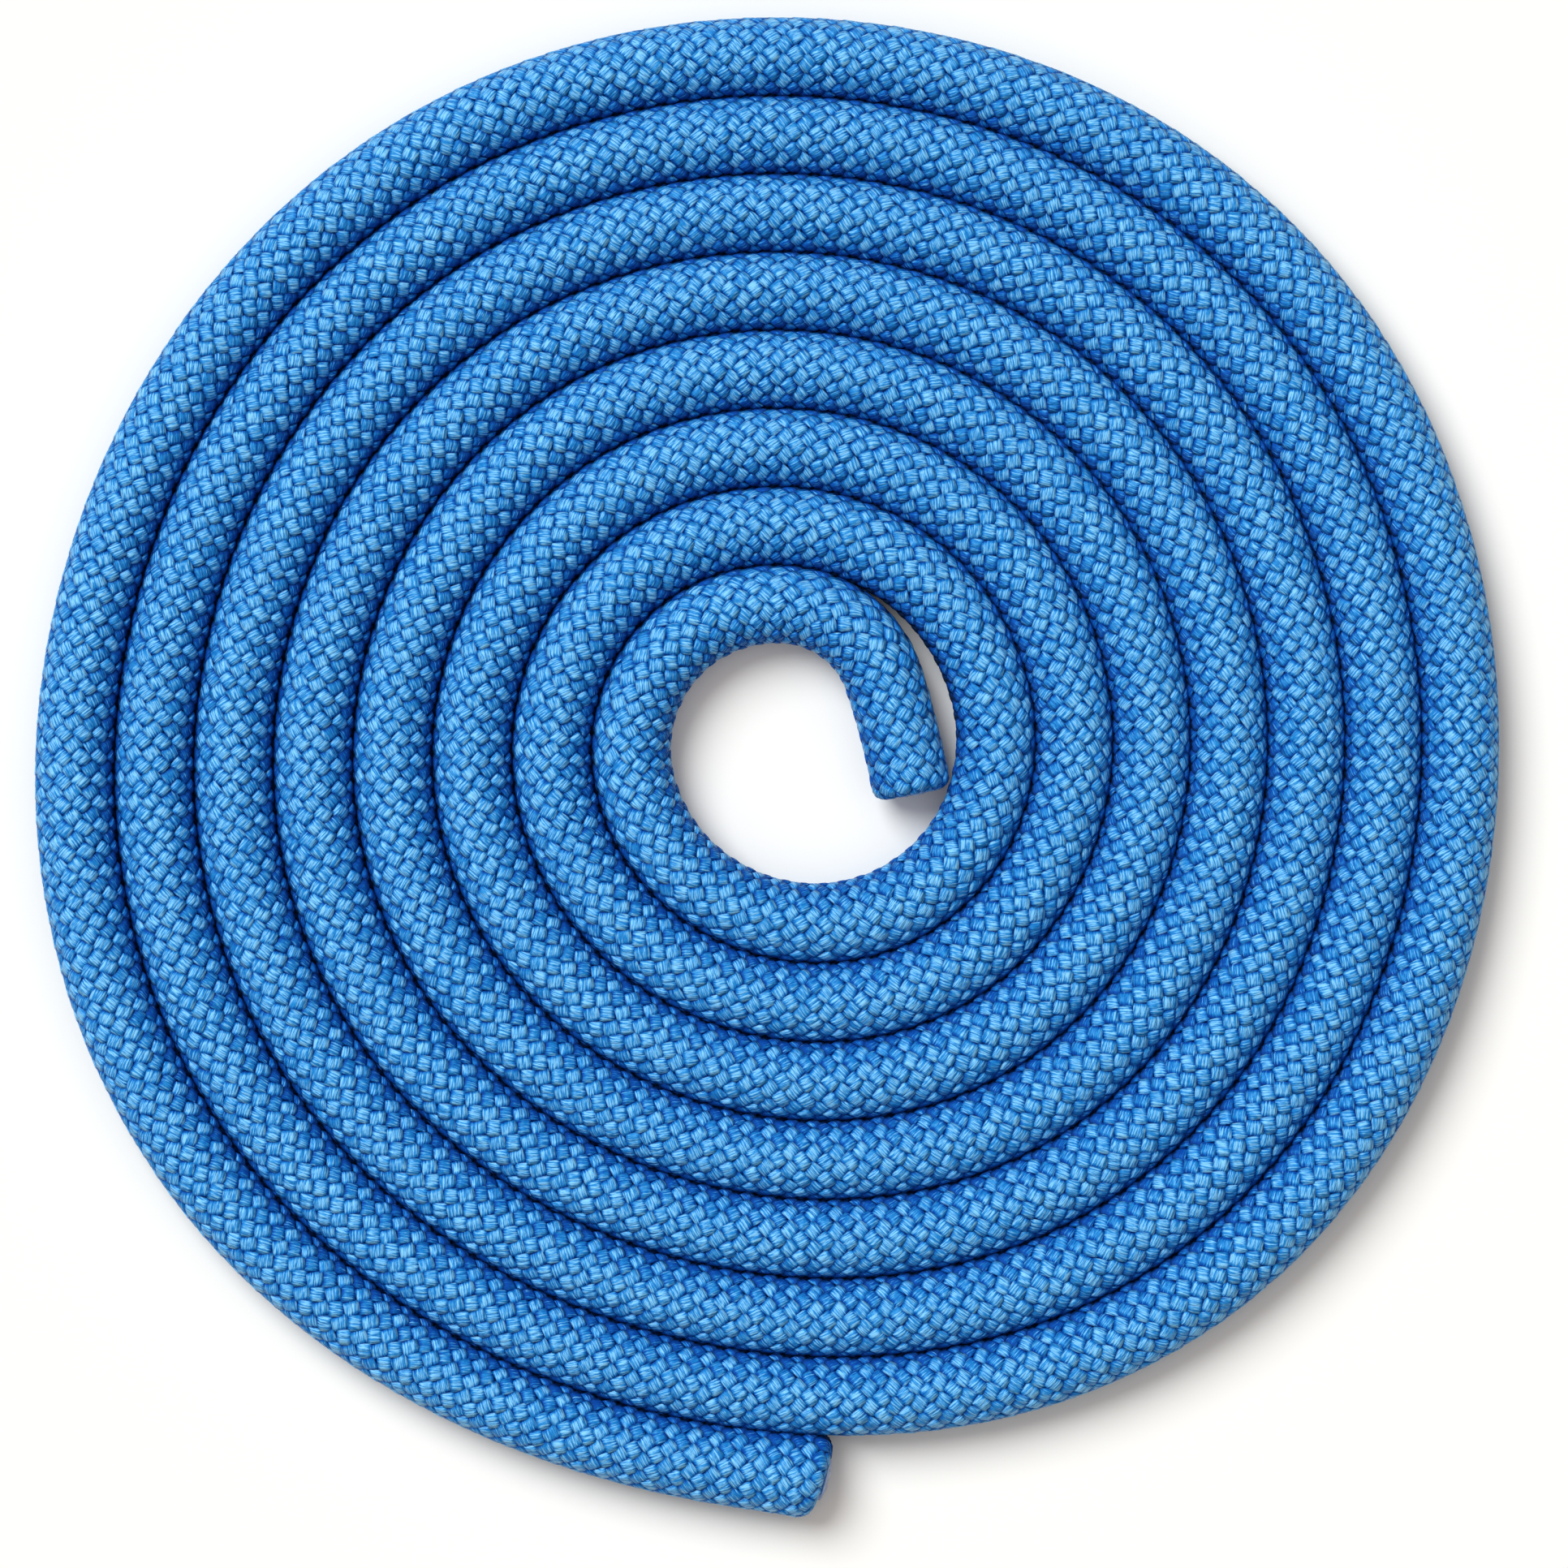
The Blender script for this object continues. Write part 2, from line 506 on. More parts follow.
def braidTree():
    tree = bpy.data.node_groups.new("braided_bundles", "GeometryNodeTree")
    face = tree.interface
    face.new_socket("Route", in_out="INPUT", socket_type="NodeSocketGeometry")
    for name in ("First Bundle", "Way", "Lay Length", "Middle Radius", "Weave Height", "Bundle Width",
                 "Bundle Height", "Inner Plane", "Outer Plane", "Inner Rim", "Outer Rim", "Outer Slant",
                 "First Wave"):
        face.new_socket(name, in_out="INPUT", socket_type="NodeSocketFloat")
    face.new_socket("Waves", in_out="INPUT", socket_type="NodeSocketInt")
    face.new_socket("Yarn", in_out="INPUT", socket_type="NodeSocketMaterial")
    face.new_socket("Braid", in_out="OUTPUT", socket_type="NodeSocketGeometry")
    given = tree.nodes.new("NodeGroupInput").outputs
    points, rings = len(bundleSection), len(bundleWave)

    # two plain tubes, one for a bundle and one for the bundle on the other side of the rope
    segments = addNode(tree, "ShaderNodeMath", {"operation": "MULTIPLY_ADD"},
                       in0=given["Waves"], in1=float(rings), in2=-1.0).outputs[0]
    tubes = []
    for half in (0, braidSizes["bundlesEachWay"] // 2):
        tube = addNode(tree, "GeometryNodeMeshCylinder", {"fill_type": "NGON"}, Vertices=points,
                       Side_Segments=segments, Radius=1.0, Depth=segments)
        number = addNode(tree, "ShaderNodeMath", {"operation": "ADD"},
                         in0=given["First Bundle"], in1=float(half))
        tubes.append(addNode(tree, "GeometryNodeStoreNamedAttribute",
                             {"data_type": "FLOAT", "domain": "POINT"}, Geometry=tube.outputs["Mesh"],
                             Name="bundle", Value=number.outputs[0]).outputs[0])
    joined = addNode(tree, "GeometryNodeJoinGeometry")
    for tube in tubes:
        tree.links.new(tube, joined.inputs[0])

    # steps of a small sum sheet; each row gives a name to one result
    value = {name: given[name] for name in given.keys() if name}
    position = addNode(tree, "GeometryNodeInputPosition")
    corner = addNode(tree, "ShaderNodeSeparateXYZ", {}, Vector=position.outputs[0])
    value.update(x=corner.outputs["X"], y=corner.outputs["Y"], z=corner.outputs["Z"], segments=segments,
                 bundle=addNode(tree, "GeometryNodeInputNamedAttribute", {"data_type": "FLOAT"},
                                Name="bundle").outputs["Attribute"])

    def work(rows):
        for name, operation, *terms in rows:
            node = addNode(tree, "ShaderNodeMath", {"operation": operation})
            for place, term in enumerate(terms):
                if isinstance(term, str):
                    tree.links.new(value[term], node.inputs[place])
                else:
                    node.inputs[place].default_value = term
            value[name] = node.outputs[0]

    work([
        ("ringPlace", "MULTIPLY_ADD", "segments", 0.5, "z"),
        ("ring", "ROUND", "ringPlace"),
        ("waveShare", "DIVIDE", "ring", float(rings)),
        ("wave", "FLOOR", "waveShare"),
        ("waveStart", "MULTIPLY", "wave", float(rings)),
        ("step", "SUBTRACT", "ring", "waveStart"),
        ("turn", "ARCTAN2", "y", "x"),
        ("sixths", "MULTIPLY", "turn", points / (2 * math.pi)),
        ("sixth", "ROUND", "sixths"),
        ("column", "FLOORED_MODULO", "sixth", float(points)),
        # a number of its own for every float, which its random draws start from
        ("bundleKey", "MULTIPLY_ADD", "bundle", 1000.0, "wave"),
        ("sideKey", "MULTIPLY_ADD", "Way", 20000.0, "bundleKey"),
    ])

    def choose(name, key, items):
        node = addNode(tree, "GeometryNodeIndexSwitch", {"data_type": "FLOAT"})
        while len(node.index_switch_items) < len(items):
            node.index_switch_items.new()
        tree.links.new(value[key], node.inputs["Index"])
        for place, item in enumerate(items):
            node.inputs[place + 1].default_value = item
        value[name] = node.outputs[0]

    choose("across", "column", [p[0] for p in bundleSection])
    choose("up", "column", [p[1] for p in bundleSection])
    choose("phase", "step", [w[0] for w in bundleWave])
    choose("lift", "step", [w[1] for w in bundleWave])
    choose("narrow", "step", [w[2] for w in bundleWave])
    for place, name in enumerate(("chanceWidth", "chanceHeight", "chanceSide", "chanceTone", "chanceLean")):
        chance = addNode(tree, "FunctionNodeRandomValue", {"data_type": "FLOAT"}, ID=value["sideKey"],
                         Seed=braidSizes["firstSeed"] + place)
        chance.inputs[2].default_value, chance.inputs[3].default_value = -1.0, 1.0
        value[name] = chance.outputs[1]

    b = braidSizes
    touchStep = b["touchStep"] * mm
    work([
        # place of the section point on the bundle
        ("widthShare", "MULTIPLY_ADD", "chanceWidth", b["widthVariation"], 1.0),
        ("halfWidth", "MULTIPLY", "Bundle Width", 0.5),
        ("wide", "MULTIPLY", "halfWidth", "widthShare"),
        ("wideHere", "MULTIPLY", "wide", "narrow"),
        ("acrossHere", "MULTIPLY", "across", "wideHere"),
        ("u", "MULTIPLY_ADD", "chanceSide", b["sideVariation"] * mm, "acrossHere"),
        ("leanShare", "MULTIPLY", "chanceLean", b["leanVariation"]),
        ("heightShare", "MULTIPLY_ADD", "chanceHeight", b["heightVariation"], 1.0),
        ("leaning", "MULTIPLY_ADD", "across", "leanShare", "heightShare"),
        ("tall", "MULTIPLY", "Bundle Height", "leaning"),
        ("upHere", "MULTIPLY", "up", "tall"),
        # bundles of the other way round lie under where these lie over
        ("wayShift", "MULTIPLY_ADD", "Way", -0.25, 0.25),
        ("waveNumber", "ADD", "wave", "First Wave"),
        ("phased", "ADD", "waveNumber", "phase"),
        ("shifted", "ADD", "phased", "wayShift"),
        ("waveLength", "DIVIDE", "Lay Length", float(b["bundlesEachWay"])),
        ("s", "MULTIPLY", "shifted", "waveLength"),
        ("turns", "DIVIDE", "s", "Lay Length"),
        ("wayTurns", "MULTIPLY", "turns", "Way"),
        ("bundleTurns", "MULTIPLY_ADD", "bundle", 1 / b["bundlesEachWay"], "wayTurns"),
        ("theta", "MULTIPLY", "bundleTurns", 2 * math.pi),
        ("tangentShare", "MULTIPLY", "u", -math.sin(sideAngle)),
        ("aheadBy", "MULTIPLY_ADD", "tangentShare", "Way", "s"),
        ("turnedBy", "MULTIPLY", "u", math.cos(sideAngle)),
        ("turnedAngle", "DIVIDE", "turnedBy", "Middle Radius"),
        ("angle", "ADD", "theta", "turnedAngle"),
        ("cosAngle", "COSINE", "angle"),
        ("sinAngle", "SINE", "angle"),
        ("bothSides", "MULTIPLY", "cosAngle", "cosAngle"),
        ("evenRelief", "MULTIPLY_ADD", "bothSides", -b["flankRelief"], 1.0),
        ("relief", "MULTIPLY_ADD", "cosAngle", -b["innerSideRelief"], "evenRelief"),
        ("sunk", "SUBTRACT", "lift", 1.0),
        ("sunkHere", "MULTIPLY_ADD", "sunk", "relief", 1.0),
        ("h", "MULTIPLY_ADD", "Weave Height", "sunkHere", "upHere"),
        # how high the yarn counts for its colour: lower on the inner side of the bend, and lowest where
        # two turns touch
        ("innerSide", "MINIMUM", "cosAngle", 0.0),
        ("outerSide", "MAXIMUM", "cosAngle", 0.0),
        ("flankOnly", "POWER", "bothSides", b["gapNarrowness"]),
        ("innerTouchFree", "MULTIPLY_ADD", "aheadBy", 1 / touchStep, -b["innerTouchFrom"] * mm / touchStep),
        ("innerTouchMost", "MINIMUM", "innerTouchFree", 1.0),
        ("innerTouch", "MAXIMUM", "innerTouchMost", 0.0),
        ("curlTouchFree", "MULTIPLY_ADD", "aheadBy", 1 / touchStep, -b["outerTouchFrom"] * mm / touchStep),
        ("outerTouchFree", "MULTIPLY_ADD", "aheadBy", -1 / touchStep, b["outerTouchTo"] * mm / touchStep),
        ("outerTouchLeast", "MINIMUM", "curlTouchFree", "outerTouchFree"),
        ("outerTouchMost", "MINIMUM", "outerTouchLeast", 1.0),
        ("outerTouch", "MAXIMUM", "outerTouchMost", 0.0),
        ("touchStepUp", "SUBTRACT", "outerTouch", "innerTouch"),
        ("isOuter", "GREATER_THAN", "cosAngle", 0.0),
        ("touch", "MULTIPLY_ADD", "touchStepUp", "isOuter", "innerTouch"),
        ("gapHere", "MULTIPLY", "flankOnly", "touch"),
        ("sideShown", "MULTIPLY_ADD", "gapHere", -b["gapShade"], "lift"),
        ("innerShadeHere", "MULTIPLY_ADD", "Way", b["innerShadeSplit"] * b["innerShade"], b["innerShade"]),
        ("outerShadeHere", "MULTIPLY_ADD", "Way", b["outerShade"], -b["outerShade"]),
        ("innerDark", "MULTIPLY", "innerSide", "innerShadeHere"),
        ("outerDark", "MULTIPLY", "outerSide", "outerShadeHere"),
        ("innerShown", "ADD", "sideShown", "innerDark"),
        ("shownHeight", "ADD", "innerShown", "outerDark"),
        # which end is near, and how far it is along the surface
        ("beyondMiddle", "GREATER_THAN", "aheadBy", sheathLength / 2 * mm),
        ("side", "MULTIPLY_ADD", "beyondMiddle", 2.0, -1.0),
        ("slantReach", "MULTIPLY", "Outer Slant", "Middle Radius"),
        ("slanted", "MULTIPLY", "slantReach", "cosAngle"),
        ("outerHere", "SUBTRACT", "Outer Plane", "slanted"),
        ("planeStep", "SUBTRACT", "outerHere", "Inner Plane"),
        ("plane", "MULTIPLY_ADD", "planeStep", "beyondMiddle", "Inner Plane"),
        ("rimStep", "SUBTRACT", "Outer Rim", "Inner Rim"),
        ("evenRim", "MULTIPLY_ADD", "rimStep", "beyondMiddle", "Inner Rim"),
        ("lean", "MULTIPLY", "beyondMiddle", "cosAngle"),
        ("rim", "MULTIPLY_ADD", "lean", b["outerRimLean"] * mm, "evenRim"),
        ("toPlane", "SUBTRACT", "plane", "aheadBy"),
        ("inside", "MULTIPLY", "toPlane", "side"),
        ("intoRim", "SUBTRACT", "rim", "inside"),
        ("past", "MAXIMUM", "intoRim", 0.0),
        ("rimAngleFree", "DIVIDE", "past", "rim"),
        ("rimAngle", "MINIMUM", "rimAngleFree", math.pi / 2),
        ("sinRim", "SINE", "rimAngle"),
        ("cosRim", "COSINE", "rimAngle"),
        ("rimArc", "MULTIPLY", "rimAngle", "rim"),
        ("inward", "SUBTRACT", "past", "rimArc"),
        ("rimDrop", "SUBTRACT", 1.0, "cosRim"),
        ("rimInward", "MULTIPLY_ADD", "rimDrop", "rim", "inward"),
        ("radius", "SUBTRACT", "Middle Radius", "rimInward"),
        ("away", "MULTIPLY_ADD", "h", "cosRim", "radius"),
        ("ahead", "MULTIPLY", "h", "sinRim"),
        ("aheadSide", "MULTIPLY", "ahead", "side"),
        ("arcOver", "MULTIPLY", "sinRim", "rim"),
        ("rimSlip", "SUBTRACT", "past", "arcOver"),
        ("slip", "MULTIPLY", "rimSlip", "side"),
        ("along", "SUBTRACT", "aheadBy", "slip"),
        ("sample", "ADD", "along", spare * mm),
        ("toOuterEnd", "SUBTRACT", "Outer Plane", "aheadBy"),
        ("flareLeft", "MULTIPLY_ADD", "toOuterEnd", -1 / (b["flareLength"] * mm), 1.0),
        ("flareOn", "MAXIMUM", "flareLeft", 0.0),
        ("flareEased", "MULTIPLY", "flareOn", "flareOn"),
        ("evenWidth", "MULTIPLY_ADD", "flareEased", b["flare"], b["flattening"]),
        ("innerFlank", "MULTIPLY", "innerSide", "innerSide"),
        ("pressedShare", "DIVIDE", "aheadBy", b["pressedFrom"] * mm),
        ("pressedMost", "MINIMUM", "pressedShare", 1.0),
        ("pressed", "MAXIMUM", "pressedMost", 0.0),
        ("innerPressed", "MULTIPLY", "innerFlank", "pressed"),
        ("widening", "MULTIPLY_ADD", "innerPressed", b["innerPress"], "evenWidth"),
        ("flattened", "MULTIPLY", "away", "widening"),
        ("outward", "MULTIPLY", "flattened", "cosAngle"),
        ("upward", "MULTIPLY", "away", "sinAngle"),
        # direction in which the yarn runs
        ("aroundWay", "MULTIPLY", "Way", math.sin(sideAngle)),
        ("aroundOut", "MULTIPLY", "sinAngle", -1.0),
        ("yarnOut", "MULTIPLY", "aroundOut", "aroundWay"),
        ("yarnUp", "MULTIPLY", "cosAngle", "aroundWay"),
        # millimetre coordinates for the yarn's finish
        ("alongYarn", "DIVIDE", "s", math.cos(sideAngle) * mm),
        ("acrossYarn", "DIVIDE", "acrossHere", mm),
    ])
    onRoute = addNode(tree, "GeometryNodeSampleCurve", {"mode": "LENGTH", "use_all_curves": True},
                      Curves=given["Route"], Length=value["sample"])
    sideways = addNode(tree, "ShaderNodeVectorMath", {"operation": "CROSS_PRODUCT"},
                       in0=onRoute.outputs["Tangent"], in1=(0, 0, 1))
    sideways = addNode(tree, "ShaderNodeVectorMath", {"operation": "NORMALIZE"}, in0=sideways.outputs[0])
    out = addNode(tree, "ShaderNodeVectorMath", {"operation": "SCALE"}, in0=sideways.outputs[0],
                  Scale=value["outward"])
    forward = addNode(tree, "ShaderNodeVectorMath", {"operation": "SCALE"},
                      in0=onRoute.outputs["Tangent"], Scale=value["aheadSide"])
    upright = addNode(tree, "ShaderNodeCombineXYZ", {}, Z=value["upward"])
    place = onRoute.outputs["Position"]
    for part in (out, forward, upright):
        place = addNode(tree, "ShaderNodeVectorMath", {"operation": "ADD"}, in0=place,
                        in1=part.outputs[0]).outputs[0]
    yarnPath = addNode(tree, "ShaderNodeCombineXYZ", {}, X=value["alongYarn"], Y=value["acrossYarn"],
                       Z=value["bundle"])
    yarnOut = addNode(tree, "ShaderNodeVectorMath", {"operation": "SCALE"}, in0=sideways.outputs[0],
                      Scale=value["yarnOut"])
    yarnUp = addNode(tree, "ShaderNodeCombineXYZ", {}, Z=value["yarnUp"])
    yarnWay = addNode(tree, "ShaderNodeVectorMath", {"operation": "SCALE"},
                      in0=onRoute.outputs["Tangent"], Scale=math.cos(sideAngle))
    for part in (yarnOut, yarnUp):
        yarnWay = addNode(tree, "ShaderNodeVectorMath", {"operation": "ADD"}, in0=yarnWay.outputs[0],
                          in1=part.outputs[0])
    shape = joined.outputs[0]
    for name, kind, source in (("yarnPath", "FLOAT_VECTOR", yarnPath.outputs[0]),
                               ("yarnWay", "FLOAT_VECTOR", yarnWay.outputs[0]),
                               ("floatTone", "FLOAT", value["chanceTone"]),
                               ("floatHeight", "FLOAT", value["shownHeight"])):
        shape = addNode(tree, "GeometryNodeStoreNamedAttribute", {"data_type": kind, "domain": "POINT"},
                        Geometry=shape, Name=name, Value=source).outputs[0]
    moved = addNode(tree, "GeometryNodeSetPosition", {}, Geometry=shape, Position=place)
    smooth = addNode(tree, "GeometryNodeSetShadeSmooth", {}, Geometry=moved.outputs[0])
    real = addNode(tree, "GeometryNodeRealizeInstances", {}, Geometry=smooth.outputs[0])
    dressed = addNode(tree, "GeometryNodeSetMaterial", {}, Geometry=real.outputs[0],
                      Material=given["Yarn"])
    result = tree.nodes.new("NodeGroupOutput")
    tree.links.new(dressed.outputs[0], result.inputs[0])
    return tree


def bakeModifier(piece, tree, settings):
    modifier = piece.modifiers.new("nodes", "NODES")
    modifier.node_group = tree
    sockets = {item.name: item.identifier for item in tree.interface.items_tree
               if item.item_type == "SOCKET" and item.in_out == "INPUT"}
    for name, setting in settings.items():
        modifier[sockets[name]] = setting
    shown = piece.evaluated_get(bpy.context.evaluated_depsgraph_get())
    mesh = bpy.data.meshes.new_from_object(shown)
    mesh.name = piece.name
    baked = bpy.data.objects.new(piece.name + "_mesh", mesh)
    bpy.context.collection.objects.link(baked)
    name, data = piece.name, piece.data
    bpy.data.objects.remove(piece)
    bpy.data.curves.remove(data)
    baked.name = name
    return baked


tree = braidTree()
braidPieces = []
for way, wayName in ((1.0, "right"), (-1.0, "left")):
    for first in range(braidSizes["bundlesEachWay"] // 2):
        name = f"sheath_bundles_{wayName}_{first + 1}"
        piece = bakeModifier(guideCurve(name, guidePoints), tree, {
            "First Bundle": float(first),
            "Way": way,
            "Lay Length": braidSizes["layLength"] * mm,
            "Middle Radius": braidSizes["middleRadius"] * mm,
            "Weave Height": braidSizes["weaveHeight"] * mm,
            "Bundle Width": braidSizes["bundleWidth"] * mm,
            "Bundle Height": braidSizes["bundleHeight"] * mm,
            "Inner Plane": innerPlane * mm,
            "Outer Plane": outerPlane * mm,
            "Inner Rim": (braidSizes["innerRim"] - skin) * mm,
            "Outer Rim": (braidSizes["outerRim"] - skin) * mm,
            "Outer Slant": math.tan(math.radians(braidSizes["outerCut"])),
            "First Wave": float(firstWave),
            "Waves": waveCount,
            "Yarn": yarnMaterial,
        })
        braidPieces.append(piece)
print("sheath braided:", len(braidPieces), "pieces,", sum(len(p.data.polygons) for p in braidPieces), "faces")


# Backing: the sheath's inner side, which carries the braid and is the rope's own line

backingSizes = {"radius": 4.05, "pointStep": 2.5, "endInset": 1.6, "around": 12}

backingPoints = [p.copy() for p in routeLine(ropeRoute, backingSizes["pointStep"], ropeRoute["sealLength"]
                                            - backingSizes["endInset"])]


def tubeMesh(name, points, radius, around, ring=0.0, angle=0.0):
    rings = len(points)
    vertices, faces = [], []
    for i, point in enumerate(points):
        ahead = (points[min(i + 1, rings - 1)] - points[max(i - 1, 0)]).normalized()
        sideways = ahead.cross(Vector((0, 0, 1))).normalized()
        turnOut, turnUp = unit(angle).xy * ring
        for j in range(around):
            turn = 2 * math.pi * j / around
            place = point + (turnOut + radius * math.cos(turn)) * sideways
            place.z += turnUp + radius * math.sin(turn)
            vertices.append(place * mm)
    for i in range(rings - 1):
        for j in range(around):
            k = (j + 1) % around
            a, b = i * around, (i + 1) * around
            faces.append((a + j, b + j, b + k, a + k))
    faces.append(tuple(range(around)))
    faces.append(tuple(reversed(range((rings - 1) * around, rings * around))))
    piece = meshObject(name, vertices, faces)
    piece.data.polygons.foreach_set("use_smooth", [True] * len(piece.data.polygons))
    return piece


backing = tubeMesh("sheath_backing", backingPoints, backingSizes["radius"], backingSizes["around"])
backing.data.materials.append(backingMaterial)
print("backing made")


# Core: 3 strands in the middle, 9 round them and the marker thread on the rope's axis

coreSizes = {
    "innerStrands": 3,
    "outerStrands": 9,
    "strandRadius": 0.95,
    "innerRing": 1.14,
    "outerRing": 3.0,
    "markerRadius": 0.14,
    "pointStep": 4.0,
    "around": 8,
}

corePoints = routeLine(ropeRoute, coreSizes["pointStep"], 0.0)
corePieces = []
innerStrands, outerStrands = coreSizes["innerStrands"], coreSizes["outerStrands"]
for i in range(innerStrands + outerStrands):
    ring, angle = coreSizes["innerRing"], 360 / innerStrands * i
    if i >= innerStrands:
        ring, angle = coreSizes["outerRing"], 360 / outerStrands * (i - innerStrands + 0.5)
    corePieces.append(tubeMesh(f"core_yarn_{i + 1:02}", corePoints, coreSizes["strandRadius"],
                               coreSizes["around"], ring, angle))
    corePieces[-1].data.materials.append(coreMaterial)
marker = tubeMesh("marker_yarn_line", corePoints, coreSizes["markerRadius"], coreSizes["around"])
marker.data.materials.append(markerMaterial)
print("core laid:", len(corePieces), "strands")


# Cut ends: a thick skin of molten yarn, blue at the rim and milky where the core strands show

endSizes = {
    "radius": 3.3,
    "dome": 0.55,
    "base": 1.2,
    "faceInset": 0.45,
    "rings": 14,
    "around": 60,
    "blob": 0.28,
    "wobble": 0.06,
    "coreRings": [(3, 1.3, 0), (9, 3.1, 20)],  # strands, radius, direction of the first one
    "coreSpread": 0.45,
    "coreLump": 0.5,  # this and the next two as shares of blob
    "freeLump": 0.6,
    "middleLump": 0.2,
    "lumpsPerMillimetre": 0.9,
    "skirt": 0.9,
}


def fusedEnd(name, face, heading, tilt, seed):
    e = endSizes
    forward = unit(heading)
    up = Vector((0, 0, 1))
    side = forward.cross(up)
    cores = [(radius, 360 / count * i + first) for count, radius, first in e["coreRings"]
             for i in range(count)]
    vertices, faces, shares = [], [], []
    for i in range(e["rings"]):
        share = (i + 1) / e["rings"]
        for j in range(e["around"]):
            turn = 2 * math.pi * j / e["around"]
            wobble = 1 + e["wobble"] * noise.noise(Vector((math.cos(turn) * 2, math.sin(turn) * 2, seed)))
            r = e["radius"] * share * wobble
            across, rise = r * math.cos(turn), r * math.sin(turn)
            near = max(math.exp(-(((across - c * math.cos(math.radians(a))) ** 2
                                   + (rise - c * math.sin(math.radians(a))) ** 2) / e["coreSpread"]))
                       for c, a in cores)
            lump = noise.noise(Vector((across * e["lumpsPerMillimetre"], rise * e["lumpsPerMillimetre"],
                                       seed + 5)))
            lumps = e["blob"] * (near * e["coreLump"] + lump * e["freeLump"])
            height = e["dome"] * (1 - share ** 3) + lumps * (1 - share ** 4) - tilt * across
            vertices.append((face + forward * height + side * across + up * rise) * mm)
            shares.append(near * (1 - share ** 2))
    # the skirt goes back into the rope
    for j in range(e["around"]):
        turn = 2 * math.pi * j / e["around"]
        across = e["radius"] * e["skirt"] * math.cos(turn)
        rise = e["radius"] * e["skirt"] * math.sin(turn)
        vertices.append((face + forward * (-e["base"] - tilt * across) + side * across + up * rise) * mm)
        shares.append(0)
    for i in range(e["rings"]):
        for j in range(e["around"]):
            k = (j + 1) % e["around"]
            a, b = i * e["around"], (i + 1) * e["around"]
            faces.append((a + j, a + k, b + k, b + j))
    centre = len(vertices)
    vertices.append((face + forward * (e["dome"] + e["blob"] * e["middleLump"])) * mm)
    shares.append(e["middleLump"])
    back = len(vertices)
    vertices.append((face - forward * e["base"]) * mm)
    shares.append(0)
    last = e["rings"] * e["around"]
    for j in range(e["around"]):
        k = (j + 1) % e["around"]
        faces.append((centre, k, j))
        faces.append((back, last + j, last + k))
    piece = meshObject(name, vertices, faces)
    layer = piece.data.attributes.new("coreShare", "FLOAT", "POINT")
    layer.data.foreach_set("value", shares)
    piece.data.polygons.foreach_set("use_smooth", [True] * len(piece.data.polygons))
    piece.data.materials.append(fusedMaterial)
    return piece


innerHeading = math.degrees(math.atan2(*(guidePoints[0] - guidePoints[1]).yx))
outerHeading = math.degrees(math.atan2(*(guidePoints[-1] - guidePoints[-2]).yx))
faceStep = ropeRoute["sealLength"] - spare - endSizes["faceInset"]
innerFace = guidePoints[0] + unit(innerHeading) * faceStep
outerFace = guidePoints[-1] + unit(outerHeading) * faceStep
innerEnd = fusedEnd("inner_fused_end", innerFace, innerHeading, 0.0, 2.0)
outerEnd = fusedEnd("outer_fused_end", outerFace, outerHeading,
                    math.tan(math.radians(braidSizes["outerCut"])), 7.0)
print("fused ends made")

for piece in braidPieces + corePieces + [backing, marker, innerEnd, outerEnd]:
    wanderMesh(piece)
print("coil's slow waves given")


# What each piece is, for the frame

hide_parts("sheath")
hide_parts("inner_end_seal")
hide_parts("outer_end_seal")
for number, strand in enumerate(corePieces, 1):
    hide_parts(f"core_strand_{number:02}")
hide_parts("marker_thread")
for slotName, slotPieces in (("sheath_yarn", braidPieces + [backing]), ("core_yarn", corePieces),
                             ("marker_yarn", [marker]), ("fused_yarn", [innerEnd, outerEnd])):
    for piece in slotPieces:
        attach(piece, "root")
centreLine = routeLine(ropeRoute, backingSizes["pointStep"], ropeRoute["sealLength"])
centreLine = [Vector(p) for p in wandered(np.array(centreLine))]


# Floor, sky and lamp: a matt white board under soft light from the upper left

lightSizes = {
    "horizonStrength": 0.06,
    "zenithStrength": 0.84,
    "skyNarrowness": 2.2,  # how closely the sky's light keeps to the zenith
    "keyStrength": 3.0,
    "keySoftness": 36,
    "keyAngle": 133,
    "keyHeight": 52,
    "keyColour": "#e4f3ff",
    "floorSize": 3000,
    "floorColour": "#fff4e9",
}

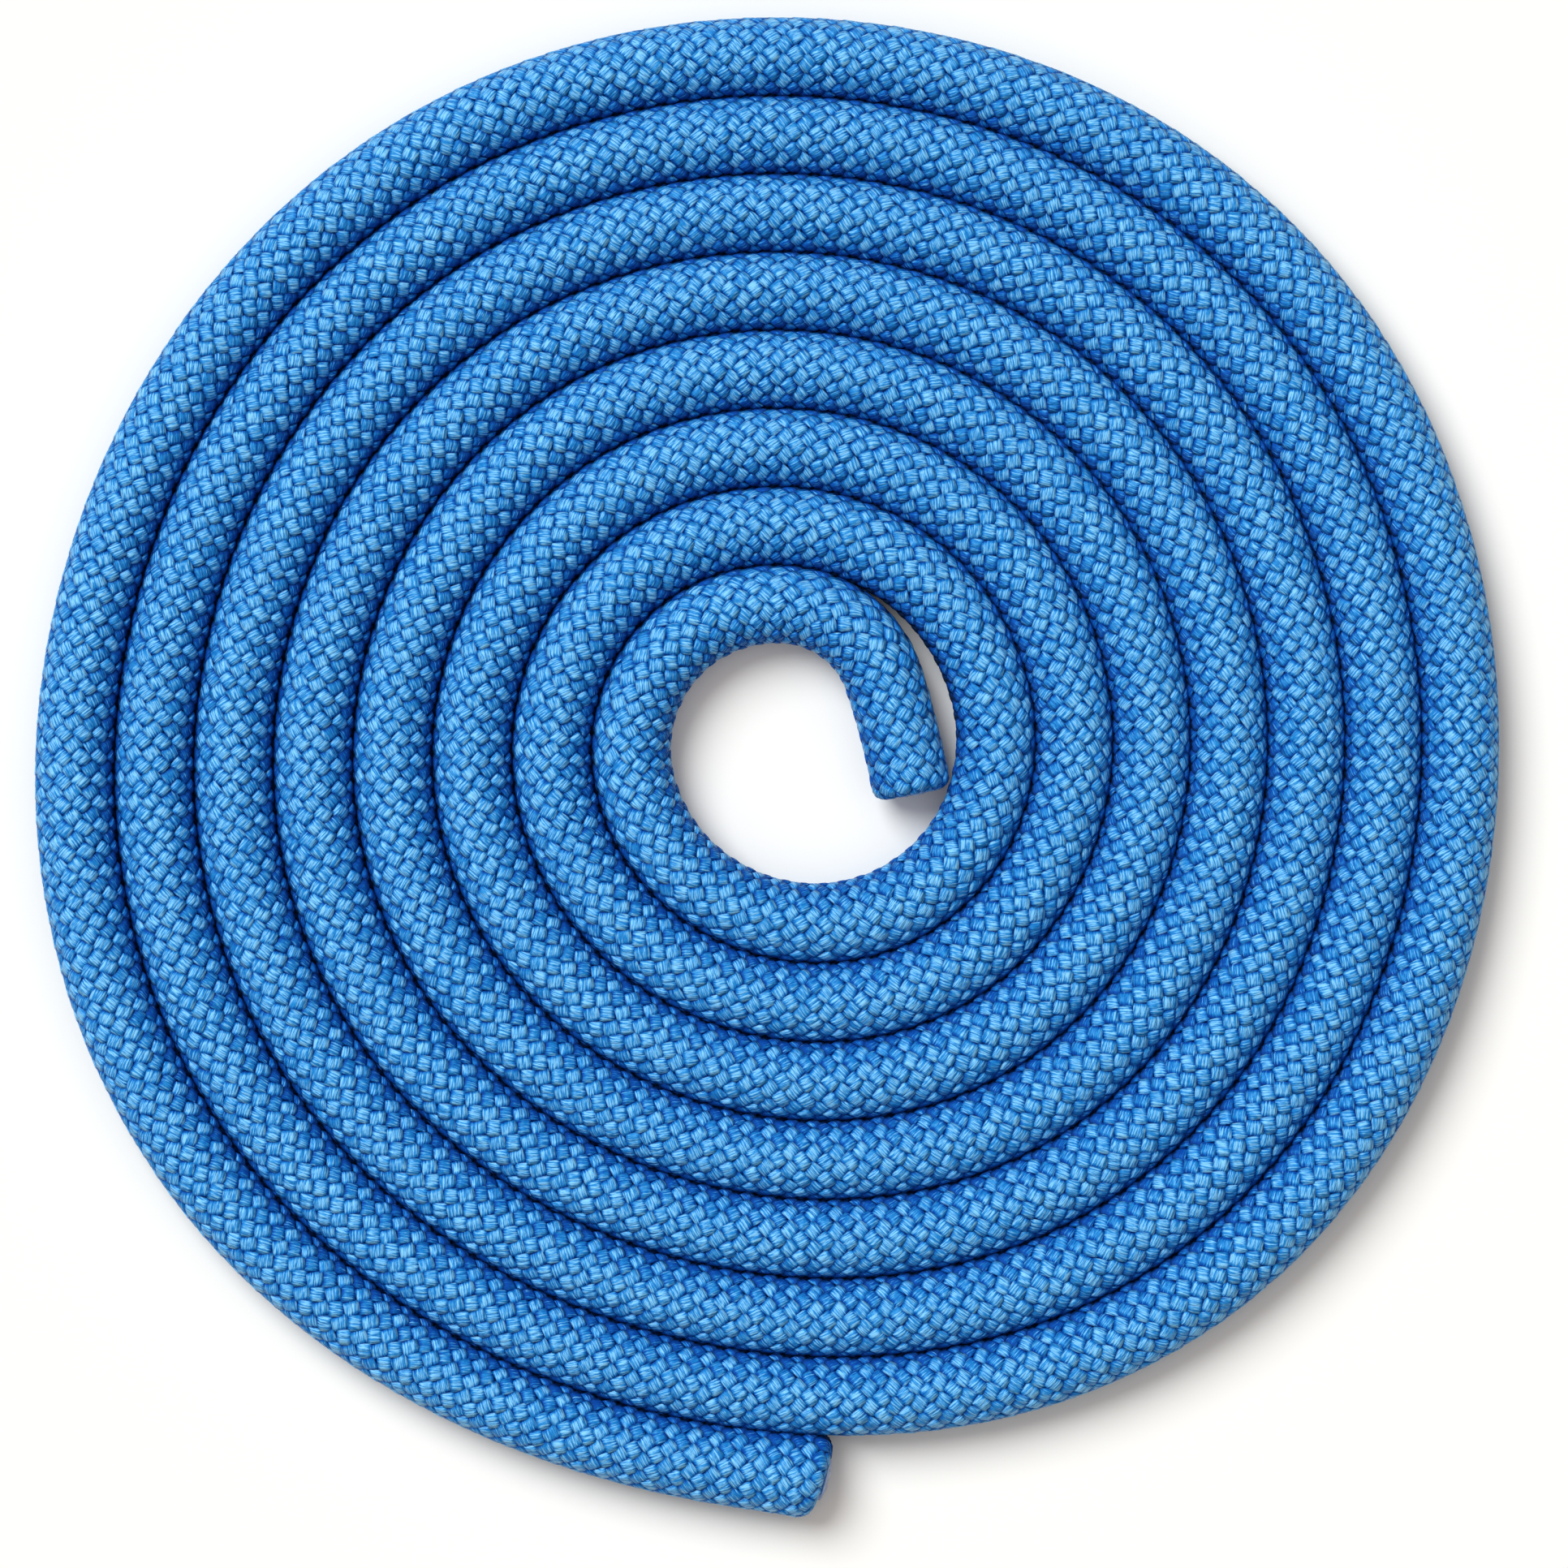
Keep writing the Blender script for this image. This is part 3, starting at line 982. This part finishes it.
floor = meshObject("white_floor", [Vector((x, y, 0)) * lightSizes["floorSize"] * mm
                                   for x, y in ((-1, -1), (1, -1), (1, 1), (-1, 1))], [(0, 1, 2, 3)])
floorMaterial, floorTree = emptyMaterial("matt_white_board")
floorLook = addNode(floorTree, "ShaderNodeBsdfDiffuse", {}, Color=linearColour(lightSizes["floorColour"]))
addNode(floorTree, "ShaderNodeOutputMaterial", {}, Surface=floorLook.outputs[0])
floor.data.materials.append(floorMaterial)

# the sky is brightest overhead, as under a wide soft box
world = bpy.data.worlds.new("soft_box_sky")
bpy.context.scene.world = world
world.use_nodes = True
worldTree = world.node_tree
worldTree.nodes.clear()
skyPlace = addNode(worldTree, "ShaderNodeTexCoord")
skyHeight = addNode(worldTree, "ShaderNodeSeparateXYZ", {}, Vector=skyPlace.outputs["Generated"])
risen = addNode(worldTree, "ShaderNodeMath", {"operation": "MAXIMUM"}, in0=skyHeight.outputs["Z"], in1=0.0)
risen = addNode(worldTree, "ShaderNodeMath", {"operation": "POWER"}, in0=risen.outputs[0],
                in1=lightSizes["skyNarrowness"])
skyLight = addNode(worldTree, "ShaderNodeMath", {"operation": "MULTIPLY_ADD"}, in0=risen.outputs[0],
                   in1=lightSizes["zenithStrength"], in2=lightSizes["horizonStrength"])
sky = addNode(worldTree, "ShaderNodeBackground", {}, Color=(1, 1, 1, 1),
              Strength=skyLight.outputs[0])
addNode(worldTree, "ShaderNodeOutputWorld", {}, Surface=sky.outputs["Background"])

keyData = bpy.data.lights.new("key_lamp", "SUN")
keyData.energy = lightSizes["keyStrength"]
keyData.color = linearColour(lightSizes["keyColour"])[:3]
keyData.angle = math.radians(lightSizes["keySoftness"])
key = bpy.data.objects.new("key_lamp", keyData)
keyFrom = unit(lightSizes["keyAngle"]) * math.cos(math.radians(lightSizes["keyHeight"]))
keyFrom.z = math.sin(math.radians(lightSizes["keyHeight"]))
key.rotation_euler = keyFrom.to_track_quat("Z", "Y").to_euler()
bpy.context.collection.objects.link(key)
bpy.context.scene.view_settings.view_transform = "Standard"
print("lit")
